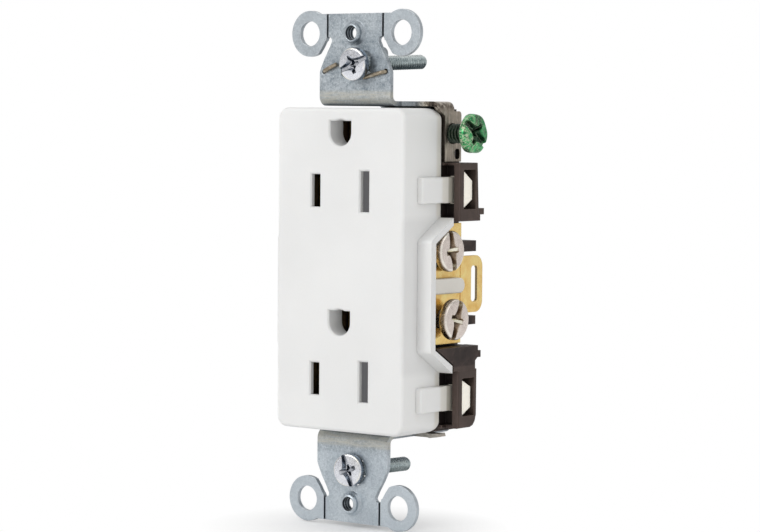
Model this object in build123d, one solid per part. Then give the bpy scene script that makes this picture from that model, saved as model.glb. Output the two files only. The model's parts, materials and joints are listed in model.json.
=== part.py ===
from build123d import *
import math
import os

# Duplex wall outlet, decorator style, 15 A 125 V, two three-wire sockets.
# Frame: +X to the right of a person facing the outlet, +Y back into the wall,
# +Z up.  Origin: centre of the mounting strap, on the back plane of its ears.
# All lengths are millimetres, angles degrees.  Side features are drawn on the
# right (+X) and mirrored.  A "block" is (x0, x1, y0, y1, z0, z1).

# --------------------------------------------------------- shared dimensions
FACE_FRONT = -5.76       # plane of the face
COVER_REAR = 6.65        # rear edge of the cover's side walls

# sockets
BLADE_PITCH = 12.7
BLADE_X = BLADE_PITCH / 2
BLADE_Z = (16.17, -22.60)
GROUND_UP = 11.89        # ground hole above the blade line
GROUND_Z = [z + GROUND_UP for z in BLADE_Z]
GROUND_R = 2.7
GROUND_FLAT = 2.4        # flat top above the ground hole centre
GROUND_WALL = 4.5        # depth of the ground holes with their sleeves
RIVET_HOLE_R = 1.25

# strap
STRAP_T = 1.0
WEB_Y0 = 20.2            # inner face of the rear web
WEB_Y1 = WEB_Y0 + STRAP_T

# terminal screws, upper and lower
SCREW_Y = 7.1
SCREW_Z = (4.12, -9.78)
SCREW_OUT = (17.75, 19.05)  # underside of the heads
THREAD_R = 2.08             # 8-32

# ground screw
GROUND_SCREW_Y, GROUND_SCREW_Z = 9.98, 28.03


# ------------------------------------------------------------------- helpers
def box(x0, x1, y0, y1, z0, z1):
    centre = Pos((x0 + x1) / 2, (y0 + y1) / 2, (z0 + z1) / 2)
    return centre * Box(x1 - x0, y1 - y0, z1 - z0)


def prism_x(points, x0, x1):
    """Polygon given as (y, z) points, extruded along X."""
    plane = Plane(origin=(x0, 0, 0), x_dir=(0, 1, 0), z_dir=(1, 0, 0))
    return extrude(plane * Polygon(*points, align=None), amount=x1 - x0, dir=(1, 0, 0))


def prism_y(points, y0, y1):
    """Polygon given as (x, z) points, extruded along Y."""
    plane = Plane(origin=(0, y1, 0), x_dir=(1, 0, 0), z_dir=(0, -1, 0))
    return extrude(plane * Polygon(*points, align=None), amount=y1 - y0, dir=(0, -1, 0))


def prism_z(points, z0, z1):
    """Polygon given as (x, y) points, extruded along Z."""
    plane = Plane(origin=(0, 0, z0), x_dir=(1, 0, 0), z_dir=(0, 0, 1))
    return extrude(plane * Polygon(*points, align=None), amount=z1 - z0, dir=(0, 0, 1))


def cyl_x(radius, x0, x1, y, z):
    return Pos((x0 + x1) / 2, y, z) * Rot(0, 90, 0) * Cylinder(radius, x1 - x0)


def cyl_y(radius, y0, y1, x, z):
    return Pos(x, (y0 + y1) / 2, z) * Rot(90, 0, 0) * Cylinder(radius, y1 - y0)


def rounded_y(width, height, radius, y0, y1, x=0.0, z=0.0):
    """Rounded rectangle in the XZ plane, extruded along Y."""
    plane = Plane(origin=(x, y1, z), x_dir=(1, 0, 0), z_dir=(0, -1, 0))
    return extrude(plane * RectangleRounded(width, height, radius), amount=y1 - y0)


def ground_outline(grow, y0, y1, z):
    """U-shaped ground opening, flat on top, grown all round."""
    half = GROUND_R + grow
    return cyl_y(half, y0, y1, 0, z) + box(-half, half, y0, y1, z, z + GROUND_FLAT + grow)


def u_path(half, x=0.0):
    """U-shaped centre line about x, from the (offset, y) points of one side."""
    return [(x - dx, y) for dx, y in half] + [(x + dx, y) for dx, y in reversed(half)]


def strip_outline(path, thickness):
    """Mitred outline of a folded strip that follows a centre line."""
    normals = []
    for (x0, y0), (x1, y1) in zip(path, path[1:]):
        length = math.hypot(x1 - x0, y1 - y0)
        normals.append((-(y1 - y0) / length, (x1 - x0) / length))
    before = normals[:1] + normals
    after = normals + normals[-1:]
    left, right = [], []
    for (x, y), n0, n1 in zip(path, before, after):
        mx, my = n0[0] + n1[0], n0[1] + n1[1]
        scale = thickness / (mx**2 + my**2)
        left.append((x + mx * scale, y + my * scale))
        right.append((x - mx * scale, y - my * scale))
    return left + right[::-1]


def fuse(shapes):
    """Shapes added one after another, in order."""
    return sum(shapes[1:], shapes[0])


def mirrored(shape):
    return mirror(shape, about=Plane.YZ)


def both_sides(shape):
    return shape + mirrored(shape)


def pick(shape, test, axis=None):
    """Edges whose centre passes the test, optionally only those along an axis."""
    edges = shape.edges()
    if axis is not None:
        edges = edges.filter_by(axis)
    return [edge for edge in edges if test(edge.center())]


def safe_fillet(shape, edges, radius):
    """Fillet; where the kernel refuses a radius, the next smaller one is used."""
    for factor in (1.0, 0.75, 0.5, 0.3):
        try:
            return fillet(edges, radius * factor)
        except Exception:
            continue
    return shape


# ---------------------------------------------------------------- face cover
FACE_W = 33.0
FACE_H = 66.3
FACE_CORNER_R = 2.4      # corner radius seen from the front
FACE_EDGE_R = 0.8        # softened front edge
REAR_CORNER_R = 2.2      # rounded rear corners of the side walls
FACE_T = 2.6
WALL_T = 1.5
CAVITY_CORNER_R = 1.4
SOFT_R = 0.35            # softened edges of the arms and fingers

# trapezoids over the terminals, (y, half height) front and rear
SIDE_Z = -4.9            # mid height
OPENING = [(0.4, 10.8), (7.5, 15.0)]
SKIRT = [(-1.1, 11.3), (6.3, 15.85)]
OPENING_X = (13.0, 21.0)
SKIRT_X = (15.2, 20.1)
SKIRT_EDGE_R = 0.9

# finger that holds the terminal strip between its two screws
FINGER_X = (15.2, 18.6)
FINGER_Y = (-0.5, 11.0)
FINGER_Z = (-4.6, -1.45)
FINGER_INNER = 17.1      # inner face of the free part
FINGER_RELIEF = (14.0, FINGER_INNER, 0.42, 13.0, -5.0, -1.0)

# latch arms: z range and (y, z) outline of the hooked end
ARM_X = (15.2, 17.93)
ARM_Y = (-1.3, 6.65)
ARM_TAIL_X0 = 16.5       # inner face of the tail and hook
ARM_TAIL_Y = (6.0, 10.3)
HOOK_X1 = 19.3
ARMS = (
    (13.9, 19.2, [
        (10.0, 12.8), (10.6, 12.8), (13.65, 14.55),
        (13.65, 18.35), (10.9, 20.25), (10.0, 20.45),
    ]),
    (-28.6, -23.5, [
        (10.0, -29.7), (10.9, -29.7), (13.65, -28.2),
        (13.65, -24.0), (10.9, -22.6), (10.0, -22.25),
    ]),
)

# slots
SLOT_W = 2.2
NEUTRAL_H = 8.3
HOT_H = 6.7
SLOT_CHAMFER = 0.3
SLOT_WALL = 1.15         # depth of the blade slots before the relief behind them
RELIEF_X, RELIEF_Z = 1.7, 1.3    # relief beyond the slot on each side
SLEEVE_T = 1.0
SLEEVE_INSET = 1.5       # sleeves start this far behind the face


def trapezoid(ends, x_range):
    """Side trapezoid, symmetric about SIDE_Z."""
    (y0, half0), (y1, half1) = ends
    points = [
        (y0, SIDE_Z + half0), (y1, SIDE_Z + half1),
        (y1, SIDE_Z - half1), (y0, SIDE_Z - half0),
    ]
    return prism_x(points, *x_range)


def cover_cavity(rear):
    width, height = FACE_W - 2 * WALL_T, FACE_H - 2 * WALL_T
    return rounded_y(width, height, CAVITY_CORNER_R, FACE_FRONT + FACE_T, rear)


def make_shell():
    body = rounded_y(FACE_W, FACE_H, FACE_CORNER_R, FACE_FRONT, COVER_REAR)
    half_h = FACE_H / 2
    rear = box(-FACE_W, FACE_W, FACE_FRONT - 1, COVER_REAR, -half_h, half_h)
    rear = fillet(pick(rear, lambda c: c.Y > COVER_REAR - 0.01, Axis.X), REAR_CORNER_R)
    body = body & rear
    edges = pick(body, lambda c: abs(c.Y - FACE_FRONT) < 1e-3)
    body = safe_fillet(body, edges, FACE_EDGE_R)
    return body - cover_cavity(COVER_REAR + 1)


def make_finger():
    z0, z1 = FINGER_Z
    x1, y1 = FINGER_X[1], FINGER_Y[1]
    finger = box(*FINGER_X, *FINGER_Y, z0, z1) + cyl_x(
        (z1 - z0) / 2, FINGER_INNER, x1, y1, (z0 + z1) / 2
    )
    edges = pick(finger, lambda c: c.X > x1 - 0.05 and c.Y > 1.0)
    return safe_fillet(finger, edges, SOFT_R) - box(*FINGER_RELIEF)


def make_side():
    """Right-hand skirt with the latch arms and their hooks."""
    side = trapezoid(SKIRT, SKIRT_X)
    side = fillet(pick(side, lambda c: c.Y < 0, Axis.X), SKIRT_EDGE_R)
    for z0, z1, hook in ARMS:
        arm = box(*ARM_X, *ARM_Y, z0, z1)
        edges = pick(arm, lambda c: c.X > 17.9 and c.Y < 6.6)
        edges += pick(arm, lambda c: c.Y < -1.25, Axis.X)
        side += safe_fillet(arm, edges, SOFT_R)
        side += box(ARM_TAIL_X0, ARM_X[1], *ARM_TAIL_Y, z0, z1)
        side += prism_x(hook, ARM_TAIL_X0, HOOK_X1)
    return side


def make_cover():
    body = make_shell() + both_sides(make_side())
    body -= both_sides(trapezoid(OPENING, OPENING_X))
    # the fingers sit inside the openings, so they come after the cut
    body += both_sides(make_finger())
    # clear the cavity again where the added blocks reach into it
    body -= cover_cavity(COVER_REAR + 8)
    for blade_z, ground_z in zip(BLADE_Z, GROUND_Z):
        for x, height in ((BLADE_X, NEUTRAL_H), (-BLADE_X, HOT_H)):
            for front, grow_x, grow_z in (
                (FACE_FRONT - 1, 0, 0),
                (FACE_FRONT + SLOT_WALL, RELIEF_X, RELIEF_Z),
            ):
                dx, dz = SLOT_W / 2 + grow_x, height / 2 + grow_z
                body -= box(x - dx, x + dx, front, 0, blade_z - dz, blade_z + dz)
        # ground holes in their sleeves
        body += ground_outline(
            SLEEVE_T, FACE_FRONT + SLEEVE_INSET, FACE_FRONT + GROUND_WALL, ground_z
        )
        body -= ground_outline(0.0, FACE_FRONT - 1, 0, ground_z)
    front_faces = [
        face
        for face in body.faces().filter_by(Axis.Y)
        if abs(face.center().Y - FACE_FRONT) < 1e-3
    ]
    front = max(front_faces, key=lambda face: face.area)
    rims = [edge for wire in front.inner_wires() for edge in wire.edges()]
    try:
        body = chamfer(rims, SLOT_CHAMFER)
    except Exception:
        pass  # the rims stay sharp if the kernel refuses the chamfer
    return body


# --------------------------------------------------------------------- strap
STRAP_H = 104.9
EAR_X = 11.9
EAR_Z = 96.84 / 2        # also the cover-plate screw holes
EAR_R = 4.75
EAR_HOLE_R = 2.6
EAR_Z0 = 47.55           # inner end of the plate between the ears
NECK_W = 18.4
NECK_TOP_W = 13.6
NECK_SHOULDER_Z = 41.4
NECK_TOP_Z = (47.0, 48.6)
FLANGE_Z0 = 33.55        # inner face of the flange that wraps round the body
FLANGE_Z1 = FLANGE_Z0 + STRAP_T
BEND_R = 1.0
BEND_Z = FLANGE_Z1 + BEND_R  # where the vertical plate ends in the bend
PLATE_HOLE_R = 1.35      # 6-32 tapped
LEAD_IN = 0.25           # cone at the mouth of the tapped hole
COLLAR_R = 2.1
COLLAR_H = 1.5
COLLAR_EDGE_R = 0.6
COLLAR_FOOT = 0.5        # cone at the root of the collar
STAPLE_X, STAPLE_Z = 8.0, 40.55
STAPLE_HOLE_R = 0.56

# slit between the right ear and the neck, (x, z), and its round end
SLIT = [
    (6.05, 46.8), (7.55, 46.8), (7.8, 47.0), (8.6, 45.65), (9.6, 44.3), (9.9, 43.6),
    (9.9, 40.4), (NECK_W / 2, 40.4), (8.85, 41.4), (8.0, 43.2), (6.6, 45.6),
]
SLIT_END_R, SLIT_END_X, SLIT_END_Z = 0.8, 6.85, 46.9

# break-off score lines, a wide one in front and a fine one behind
SCORE_X, SCORE_Z0 = 7.2, 46.8
SCORE_FRONT_W, SCORE_FRONT_DEPTH = 0.44, 0.5
SCORE_REAR_W, SCORE_REAR_DEPTH = 0.3, 0.12

# mounting screw openings: width, height, corner radius, y range, x, z
OPENING_TOP = (7.6, 5.7, 1.3, -5, 5, 0.2, 42.0)
OPENING_BOTTOM = (7.6, 6.4, 3.1, -5, 5, -0.2, -41.5)

# curled lip on the right edge of the lower flange, (x, z)
LIP_X0 = NECK_W / 2 - 0.3
LIP = [
    (LIP_X0, -FLANGE_Z0), (12.2, -FLANGE_Z0), (13.0, -FLANGE_Z0 - 0.2),
    (15.2, -FLANGE_Z0 - 0.05), (15.4, -FLANGE_Z0 - 0.75), (13.2, -FLANGE_Z1 - 0.1),
    (12.6, -FLANGE_Z1), (LIP_X0, -FLANGE_Z1),
]
LIP_Y = (8.0, 10.6)

# ground tab
TAB_X1 = 17.0            # outer face
TAB_X0 = TAB_X1 - STRAP_T
TAB_BEND_R = 0.7
TAB_Y1 = 10.4            # rear edge of the arm and bend
TAB_STEP_Y = 7.3         # front edge of the narrow part
TAB_BLADE = (TAB_X0, TAB_X1, TAB_STEP_Y, 12.9, 22.3, 32.6)
TAB_HOLE = (15.0, 18.0, 10.6, 12.4, 22.8, 24.95)
TAB_SCREW_HOLE_R = 2.13


def make_end_plate():
    """Upper end of the strap: ears, neck and collar."""
    front, top_z = -STRAP_T, STRAP_H / 2
    neck, neck_top = NECK_W / 2, NECK_TOP_W / 2
    z0, z1 = NECK_TOP_Z
    plate = box(-EAR_X, EAR_X, front, 0, EAR_Z0, top_z)
    outline = [
        (-neck_top, z1), (neck_top, z1), (neck_top, z0), (neck, NECK_SHOULDER_Z),
        (neck, BEND_Z), (-neck, BEND_Z), (-neck, NECK_SHOULDER_Z), (-neck_top, z0),
    ]
    plate += prism_y(outline, front, 0)
    for side in (-1, 1):
        plate += cyl_y(EAR_R, front, 0, side * EAR_X, EAR_Z)
    for side in (-1, 1):
        plate -= cyl_y(EAR_HOLE_R, front - 1, 1, side * EAR_X, EAR_Z)
        plate -= prism_y([(side * x, z) for x, z in SLIT], front - 1, 1)
        plate -= cyl_y(SLIT_END_R, front - 1, 1, side * SLIT_END_X, SLIT_END_Z)
        for width, y0, y1 in (
            (SCORE_FRONT_W, front - 1, front + SCORE_FRONT_DEPTH),
            (SCORE_REAR_W, -SCORE_REAR_DEPTH, 1),
        ):
            x = side * SCORE_X
            plate -= box(x - width / 2, x + width / 2, y0, y1, SCORE_Z0, top_z + 1)
    # drawn collar round the tapped hole
    collar_front = front - COLLAR_H
    collar = cyl_y(COLLAR_R, collar_front, front + 0.1, 0, EAR_Z)
    edges = pick(collar, lambda c: c.Y < collar_front + 0.01)
    plate += safe_fillet(collar, edges, COLLAR_EDGE_R)
    cone = Cone(COLLAR_R + COLLAR_FOOT, COLLAR_R, COLLAR_FOOT)
    return plate + Pos(0, front - COLLAR_FOOT / 2, EAR_Z) * Rot(90, 0, 0) * cone


def arc_points(y, z, radius, start, end, steps):
    angles = [math.radians(start + (end - start) * i / steps) for i in range(steps + 1)]
    return [(y + radius * math.cos(a), z + radius * math.sin(a)) for a in angles]


def make_channel():
    """Flanges and rear web that wrap round the body, drawn in the YZ plane."""
    outer_r = BEND_R + STRAP_T
    corner_y, corner_z = WEB_Y0 - BEND_R, FLANGE_Z0 - BEND_R
    # upper half: inner skin from the plate to the web, then the outer skin back
    half = arc_points(BEND_R, BEND_Z, outer_r, 180, 270, 10)
    half += arc_points(corner_y, corner_z, BEND_R, 90, 0, 8)
    half += [(WEB_Y0, 0.0), (WEB_Y1, 0.0)]
    half += arc_points(corner_y, corner_z, outer_r, 0, 90, 10)
    half += arc_points(BEND_R, BEND_Z, BEND_R, 270, 180, 8)
    half += [(0.0, BEND_Z + 0.6), (-STRAP_T, BEND_Z + 0.6)]
    channel = prism_x(half, -NECK_W / 2, NECK_W / 2)
    return channel + mirror(channel, about=Plane.XY)


def make_ground_tab():
    """Arm off the upper flange, bent down beside the body."""
    neck = NECK_W / 2
    outer_r = STRAP_T + TAB_BEND_R
    bend_x, bend_z = TAB_X1 - outer_r, FLANGE_Z1 - outer_r
    arm = box(neck - 1.0, bend_x, 4.8, TAB_Y1, FLANGE_Z0, FLANGE_Z1)
    gusset = [(neck - 0.5, 2.4), (neck + 2.2, 4.9), (neck - 0.5, 4.9)]
    arm += prism_z(gusset, FLANGE_Z0, FLANGE_Z1)
    ring = cyl_y(outer_r, 5.2, TAB_Y1, bend_x, bend_z)
    ring -= cyl_y(TAB_BEND_R, 5.0, 11.0, bend_x, bend_z)
    arm += ring & box(bend_x, TAB_X1 + 1, 5.2, TAB_Y1, bend_z, FLANGE_Z1 + 0.5)
    tab = box(TAB_X0, TAB_X1, TAB_STEP_Y, TAB_Y1, 32.0, bend_z)
    taper = [(5.2, bend_z), (TAB_Y1, bend_z), (TAB_Y1, 31.6), (TAB_STEP_Y, 31.6)]
    tab += prism_x(taper, TAB_X0, TAB_X1)
    blade = box(*TAB_BLADE)
    blade = fillet(pick(blade, lambda c: c.Z > 32 and c.Y > 12, Axis.X), 0.8)
    return arm + tab + blade


def make_strap():
    plate = make_end_plate()
    top = plate - rounded_y(*OPENING_TOP)
    bottom = mirror(plate, about=Plane.XY) - rounded_y(*OPENING_BOTTOM)
    for side in (-1, 1):
        top -= cyl_y(STAPLE_HOLE_R, -5, 5, side * STAPLE_X, STAPLE_Z)
    strap = top + bottom + make_channel()
    strap += prism_y(LIP, *LIP_Y)
    strap += make_ground_tab()
    hole = box(*TAB_HOLE)
    strap -= fillet(hole.edges().filter_by(Axis.X), 0.75)
    strap -= cyl_x(TAB_SCREW_HOLE_R, 15.0, 18.0, GROUND_SCREW_Y, GROUND_SCREW_Z)
    # tapped holes, with a lead-in at the front, and rivet holes
    for side in (-1, 1):
        z = side * EAR_Z
        strap -= cyl_y(PLATE_HOLE_R, -5, 2, 0, z)
        cone = Cone(PLATE_HOLE_R, PLATE_HOLE_R + LEAD_IN, LEAD_IN)
        strap -= Pos(0, -STRAP_T - COLLAR_H + LEAD_IN / 2, z) * Rot(90, 0, 0) * cone
    for z in GROUND_Z:
        strap -= cyl_y(RIVET_HOLE_R, 18, 24, 0, z)
    return strap


# ---------------------------------------------------------------------- base
BASE_FRONT = -3.0
BASE_SHOULDER_Y = 6.95
BASE_MID_Y = 13.2
BASE_REAR_Y = 20.0
BASE_EDGE_R = 1.2
BASE_BLOCKS = (          # front, middle and rear steps of the body
    (-14.6, 14.6, BASE_FRONT, BASE_SHOULDER_Y + 0.5, -31.2, 31.2),
    (-15.5, 15.5, BASE_SHOULDER_Y, BASE_MID_Y, -33.0, 33.0),
    (-11.4, 11.4, BASE_MID_Y - 0.5, BASE_REAR_Y, -32.6, 32.6),
)

# side wall behind the terminal strip, (y, z)
SIDE_WALL = [(0.95, 5.2), (6.7, 8.7), (13.2, 8.7), (13.2, -15.1), (0.95, -15.1)]
SIDE_WALL_X = (13.0, 16.0)

# latch frames, (y, z), and the blocks that join them to the body
FRAME_X = (16.7, 20.0)
FRAME_Y = 8.5            # front face
FRAME_UP = [
    (FRAME_Y, 10.15), (FRAME_Y, 22.1), (14.8, 22.1), (15.25, 13.0),
    (15.3, 11.7), (15.85, 11.4), (15.85, 10.15),
]
FRAME_LOW = [
    (FRAME_Y, -20.3), (15.1, -20.3), (15.05, -29.8), (14.6, -31.2),
    (13.9, -32.0), (13.0, -32.3), (FRAME_Y, -32.3),
]
FRAME_UP_BLOCKS = (      # root, nub
    (14.5, 17.0, BASE_SHOULDER_Y, 14.8, 10.15, 22.1),
    (17.4, 19.4, 14.9, 17.8, 11.4, 12.7),
)
FRAME_LOW_ROOT = (14.5, 17.0, BASE_SHOULDER_Y, 14.6, -32.3, -20.2)

# lug above the lower frame, (y, z)
LUG = [
    (1.3, -15.5), (15.45, -15.5), (15.45, -17.9), (14.5, -18.6), (14.5, -20.4),
    (7.0, -20.4), (7.0, -19.1), (6.4, -18.7), (1.3, -15.7),
]
LUG_X = (16.7, 19.9)
LUG_BLOCKS = (           # root and nub of the lug, ribs between paired wire entries
    (14.5, 17.0, BASE_SHOULDER_Y, 14.6, -20.5, -15.5),
    (17.6, 19.9, 15.0, 16.4, -18.0, -16.6),
    (11.0, 15.9, 11.6, BASE_REAR_Y, 3.6, 5.85),
    (11.0, 15.9, 11.6, BASE_REAR_Y, -11.6, -9.8),
)

# windows for the hooks and channels for the latch arms
WINDOW_Y = (9.85, 14.05)
CHANNEL_X = (16.2, 18.5)
CHANNEL_Y = (5.0, 9.3)   # flared mouths
LATCH_CUTS = (           # z ranges: window, channel
    ((12.6, 20.7), (10.95, 21.55)),
    ((-29.9, -22.05), (-31.6, -21.0)),
)

CUT_FRONT = BASE_FRONT - 0.5
BUS_CUTS = (             # room for the inner leg, its long strip and the front web
    (9.0, 11.25, CUT_FRONT, 12.4, -14.3, 8.3),
    (9.0, 11.0, CUT_FRONT, 7.2, -26.8, 20.6),
    (9.0, 17.5, CUT_FRONT, 2.1, -5.3, -0.7),
)
CONTACT_CUTS = (         # x0, x1, half height about the blade line
    (3.7, 9.2, 5.6),
    (8.0, 10.1, 4.2),
)
CONTACT_CUT_REAR = 14.2
CLAMP_POCKET = (11.2, 16.5, 3.0, 11.2)   # x and y ranges
CLAMP_POCKET_HALF_H = 4.35
WELL_HALF_W, WELL_HALF_H = 3.25, 2.9     # ground contact wells

# wire entries
WIRE_R = 1.25
WIRE_X = 12.75
WIRE_Z = (7.15, 2.3, -8.5, -12.87)


def make_frame(points, edge_r):
    """Latch frame with softened outer edges."""
    frame = prism_x(points, *FRAME_X)
    return safe_fillet(frame, pick(frame, lambda c: c.X > FRAME_X[1] - 0.01), edge_r)


def make_base_side():
    """Everything added to the right of the body."""
    return fuse([
        prism_x(SIDE_WALL, *SIDE_WALL_X),
        make_frame(FRAME_UP, 0.3),
        *[box(*block) for block in FRAME_UP_BLOCKS],
        make_frame(FRAME_LOW, 0.4),
        box(*FRAME_LOW_ROOT),
        prism_x(LUG, *LUG_X),
        *[box(*block) for block in LUG_BLOCKS],
    ])


def make_base_cuts():
    """Everything cut from the right of the base."""
    cuts = []
    x0, x1 = CHANNEL_X
    for (z0, z1), channel_z in LATCH_CUTS:
        cuts.append(box(x0, 18.2, 5.0, WINDOW_Y[0] + 0.1, z0 + 1.1, z1 - 1.3))
        cuts.append(box(x0, x1, *CHANNEL_Y, *channel_z))
        cuts.append(box(x0, 21.0, *WINDOW_Y, z0, z1))
    for z in SCREW_Z:
        cuts.append(box(*CLAMP_POCKET, z - CLAMP_POCKET_HALF_H, z + CLAMP_POCKET_HALF_H))
    cuts += [box(*block) for block in BUS_CUTS]
    for z in BLADE_Z:
        for x0, x1, half_h in CONTACT_CUTS:
            cuts.append(box(x0, x1, CUT_FRONT, CONTACT_CUT_REAR, z - half_h, z + half_h))
    # wire entries from the rear, one each side of every rib
    for z in WIRE_Z:
        cuts.append(cyl_y(WIRE_R, 10.8, BASE_MID_Y + 0.5, WIRE_X, z))
    return fuse(cuts)


def make_base():
    body = fuse([box(*block) for block in BASE_BLOCKS])
    edges = pick(body, lambda c: c.Y > BASE_REAR_Y - 0.01, Axis.X)
    body = safe_fillet(body, edges, BASE_EDGE_R)
    edges = pick(body, lambda c: abs(c.X) > 14.5 and c.Y < 6, Axis.Y)
    body = safe_fillet(body, edges, BASE_EDGE_R)
    side = make_base_side()
    base = body + side + mirrored(side)
    base -= both_sides(make_base_cuts())
    # ground contact wells, open through the rear, and room for the cover's sleeves
    for z in GROUND_Z:
        base -= box(-WELL_HALF_W, WELL_HALF_W, -1.5, 21.0, z - WELL_HALF_H, z + WELL_HALF_H)
        base -= ground_outline(1.25, CUT_FRONT, FACE_FRONT + GROUND_WALL + 0.3, z)
    # room for the end of the ground screw
    base -= cyl_x(2.7, 11.0, 16.5, GROUND_SCREW_Y, GROUND_SCREW_Z)
    return base


# ------------------------------------------------- terminal strips, contacts
BUS_X = (16.4, 17.0)
BUS_PLATE = [            # (y, z)
    (0.95, 5.0), (6.7, 8.6), (6.7, 9.7), (13.2, 9.7), (13.2, -15.0), (0.95, -15.0),
]
FIN_YZ = (13.0, 20.8, -8.93, 2.85)
FIN_CORNER_R = 2.4
FIN_SLOT_YZ = (16.8, 19.0, -6.75, 0.75)
FIN_SLOT_R = 0.8
BUS_GROOVE_DEPTH = 0.2
BUS_GROOVE_YZ = (12.8, 13.2, -9.5, 3.4)
BUS_BLOCKS = (           # front web, inner leg, long strip to the contacts
    (10.1, BUS_X[1], 1.0, 1.8, -5.1, -0.9),
    (10.1, 10.9, 1.0, 12.0, -14.0, 8.0),
    (10.1, 10.9, 1.0, 6.8, -26.4, 20.2),
)

CLIP_T = 0.6
# half of each clip's centre line, (offset from its mid plane, y)
BLADE_CLIP = [(1.9, 1.2), (1.15, 4.4), (1.75, 8.8), (1.75, 12.4)]
GROUND_CLIP = [(2.55, 1.0), (2.2, 4.6), (2.7, 10.0), (2.7, 19.9)]
CLIP_LEG = [(BLADE_X + 1.6, 12.4), (9.75, 12.4), (9.75, 1.6)]   # (x, y)
NEUTRAL_CLIP_H, HOT_CLIP_H = 7.6, 6.6
CLIP_LEG_HALF_H = 3.6
GROUND_CLIP_HALF_H = 2.4


def make_bus():
    """Right-hand (neutral) terminal strip; the hot one is its mirror image."""
    x0, x1 = BUS_X
    plate = prism_x(BUS_PLATE, x0, x1)
    fin = box(x0, x1, *FIN_YZ)
    fin = fillet(pick(fin, lambda c: c.Y > 20, Axis.X), FIN_CORNER_R)
    slot = box(x0 - 1, x1 + 1, *FIN_SLOT_YZ)
    fin -= fillet(slot.edges().filter_by(Axis.X), FIN_SLOT_R)
    bus = plate + fin
    bus -= box(x1 - BUS_GROOVE_DEPTH, x1 + 1, *BUS_GROOVE_YZ)
    for z in SCREW_Z:
        bus -= cyl_x(THREAD_R + 0.07, x0 - 1, x1 + 1, SCREW_Y, z)
    for block in BUS_BLOCKS:
        bus += box(*block)
    return bus


def make_contact(z, height):
    """Spring clip for one blade, right-hand side."""
    outline = strip_outline(u_path(BLADE_CLIP, BLADE_X), CLIP_T)
    clip = prism_z(outline, z - height / 2, z + height / 2)
    leg = strip_outline(CLIP_LEG, CLIP_T)
    return clip + prism_z(leg, z - CLIP_LEG_HALF_H, z + CLIP_LEG_HALF_H)


def make_ground_contact(z):
    outline = strip_outline(u_path(GROUND_CLIP), CLIP_T)
    clip = prism_z(outline, z - GROUND_CLIP_HALF_H, z + GROUND_CLIP_HALF_H)
    return clip - cyl_y(RIVET_HOLE_R, 18, 21, 0, z)


def make_ground_rivet(z):
    rivet = cyl_y(1.2, 18.7, 22.0, 0, z)
    rivet += cyl_y(1.9, 18.7, 19.58, 0, z)
    tail = cyl_y(2.3, WEB_Y1 + 0.02, 22.3, 0, z)
    return rivet + safe_fillet(tail, pick(tail, lambda c: c.Y > 22.2), 0.6)


# -------------------------------------------------------------------- screws
# Each screw: head radius, height and edge radius, width of the drive slot, and
# its shank as (radius, z0, z1) below the underside of the head at z = 0.
TERMINAL_SCREW = dict(
    head_r=4.22, head_h=1.8, edge_r=0.4, slot_w=1.25,
    shank=[(THREAD_R, -3.2, 0.2), (1.5, -4.6, -3.0), (1.95, -4.9, -4.45)],
)
GROUND_SCREW = dict(
    head_r=4.15, head_h=1.9, edge_r=0.7, slot_w=1.3, shank=[(2.05, -6.4, 0.2)]
)
MOUNTING_R = 1.72        # 6-32
MOUNTING_SCREW = dict(
    head_r=3.43, head_h=1.75, edge_r=0.6, slot_w=0.95, shank=[(MOUNTING_R, -23.2, 0.2)]
)

# how far the drive slots are turned
NEUTRAL_TURNS = (-62, -28)
HOT_TURNS = (35, 80)
GROUND_TURN = 128

GROUND_SCREW_OUT = 21.4  # underside of the head

# The mounting screws are loose: under-head centre, degrees the tip leans
# sideways, degrees it rises, turn of the drive slot.
MOUNTINGS = {
    "top": ((1.3, -2.15, 42.05), 0.0, 2.3, 23),
    "bottom": ((0.0, -1.3, -41.45), 7.0, -2.8, 110),
}

# square pressure plate on each terminal screw
CLAMP_BACK = 3.3         # outer face, in from the underside of the head
CLAMP_T = 1.0
CLAMP_HALF_Y, CLAMP_HALF_Z = 3.5, 3.6
CLAMP_HOLE_R = 1.62

RETAINER_SIZE = (7.2, 6.8, 0.9)
RETAINER_Z = -5.6        # along the screw

# wire clip
STAPLE_R = 0.44
STAPLE_REAR, STAPLE_FRONT = 0.52, -STRAP_T - 0.47
STAPLE_PATH = [
    (-4.4, STAPLE_FRONT, 42.1),
    (-STAPLE_X, STAPLE_FRONT, 40.6),
    (-STAPLE_X, STAPLE_REAR, STAPLE_Z),
    (-3.4, STAPLE_REAR, 39.45),
    (4.4, STAPLE_REAR, 39.45),
    (STAPLE_X, STAPLE_REAR, STAPLE_Z),
    (STAPLE_X, STAPLE_FRONT, 40.5),
    (2.6, STAPLE_FRONT, 39.3),
]


def drive_recess(radius, depth, slot_w, width):
    """Slot with a cross, cut into a head whose top is at z = 0."""
    cross_w, cross_h = slot_w * 0.95, depth * 1.2 + 1.0
    cross_at = Pos(0, 0, -depth / 2 + 0.3)
    recess = Pos(0, 0, -depth / 2 + 0.5) * Box(2 * radius + 1, slot_w, depth + 1.0)
    recess += cross_at * Box(width, cross_w, cross_h)
    return recess + cross_at * Box(cross_w, width, cross_h)


def make_screw(turn, head_r, head_h, edge_r, slot_w, shank):
    """Screw along local Z, underside of the head at 0, shank below."""
    head = Pos(0, 0, head_h / 2) * Cylinder(head_r, head_h)
    screw = fillet(pick(head, lambda c: abs(c.Z - head_h) < 1e-6), edge_r)
    for radius, z0, z1 in shank:
        screw += Pos(0, 0, (z0 + z1) / 2) * Cylinder(radius, z1 - z0)
    recess = drive_recess(head_r, head_h * 0.55, slot_w, head_r * 1.15)
    return screw - Pos(0, 0, head_h) * Rot(0, 0, turn) * recess


def make_terminal_screw(out, z, turn):
    return Pos(out, SCREW_Y, z) * Rot(0, 90, 0) * make_screw(turn, **TERMINAL_SCREW)


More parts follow.
